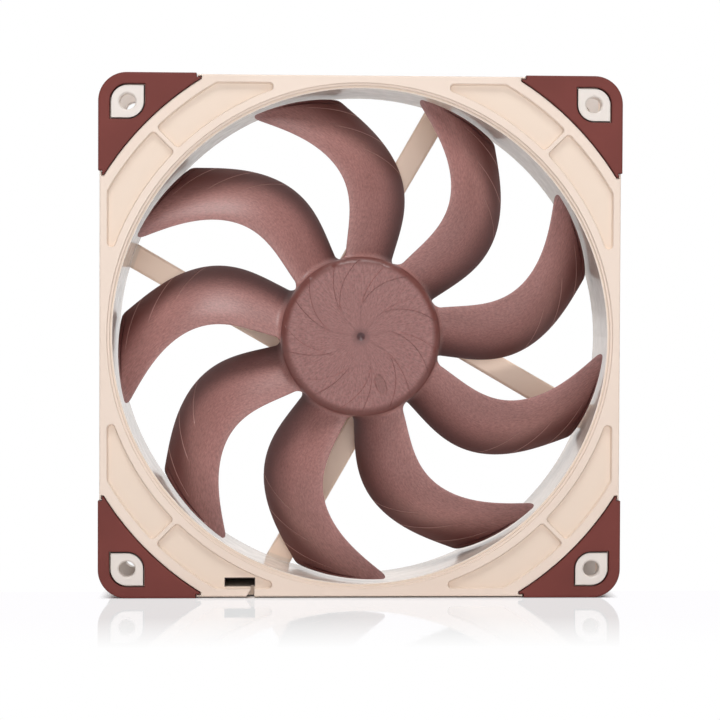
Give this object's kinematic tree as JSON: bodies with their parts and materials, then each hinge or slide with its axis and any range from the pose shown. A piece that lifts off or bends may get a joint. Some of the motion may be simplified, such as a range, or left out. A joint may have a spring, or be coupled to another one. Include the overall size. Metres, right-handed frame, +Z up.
{
  "type": "case fan",
  "caption": "Square computer case fan: swept blades on a round hub, a moulded frame with slanted struts, soft corner pads, a brushless motor inside and screw holes in each corner.",
  "frame": {"origin": "centre of the fan, on the rotor axis, half way through its depth", "axes": "+Z up as it stands in the picture, +X to the right seen from the intake, rotor axis along Y with the intake facing -Y and the struts and outlet at +Y"},
  "size_m": [0.14, 0.025, 0.14],
  "materials": {
    "frame_plastic": "fine moulded texture",
    "pad_silicone": "matt silicone",
    "impeller_plastic": "fibre-filled, satin",
    "cover_plastic": "bare, matt",
    "yoke_steel": "deep drawn",
    "magnet": "pressed ferrite, matt",
    "shaft_steel": "ground",
    "brass": "turned",
    "sintered_bronze": "sintered, oily",
    "seal_rubber": "matt",
    "thrust_plastic": "smooth",
    "lamination_steel": "stacked sheets",
    "insulator_plastic": "moulded",
    "copper_wire": "enamelled winding",
    "pin_metal": "tinned",
    "board": "lacquered",
    "chip_plastic": "moulded",
    "capacitor_ceramic": "ceramic",
    "resistor_ceramic": "ceramic, tinned ends"
  },
  "bodies": {
    "stator": {"frame": "frame_plastic", "rear_cover_disc": "cover_plastic", "bearing_tube": "brass", "bearing_bush": "sintered_bronze", "oil_seal": "seal_rubber", "thrust_pad": "thrust_plastic", "stabilising_magnet": "magnet", "stator_core": "lamination_steel", "front_insulator": "insulator_plastic", "rear_insulator": "insulator_plastic", "terminal_pins": "pin_metal", "driver_board": "board", "driver_chip": "chip_plastic", "position_sensor": "chip_plastic", "capacitor": "capacitor_ceramic", "resistors": "resistor_ceramic", "front_pad_upper_right": "pad_silicone", "front_pad_upper_left": "pad_silicone", "front_pad_lower_left": "pad_silicone", "front_pad_lower_right": "pad_silicone", "rear_pad_upper_right": "pad_silicone", "rear_pad_upper_left": "pad_silicone", "rear_pad_lower_left": "pad_silicone", "rear_pad_lower_right": "pad_silicone", "coil_1": "copper_wire", "coil_2": "copper_wire", "coil_3": "copper_wire", "coil_4": "copper_wire"},
    "rotor": {"impeller": "impeller_plastic", "steel_yoke": "yoke_steel", "rotor_magnet": "magnet", "shaft": "shaft_steel", "shaft_insert": "brass", "shaft_clip": "shaft_steel"}
  },
  "joints": [
    {"name": "impeller_spin", "type": "hinge", "parent": "stator", "child": "rotor", "pos_m": [0, 0, 0], "axis": [0, -1, 0], "continuous": true}
  ]
}
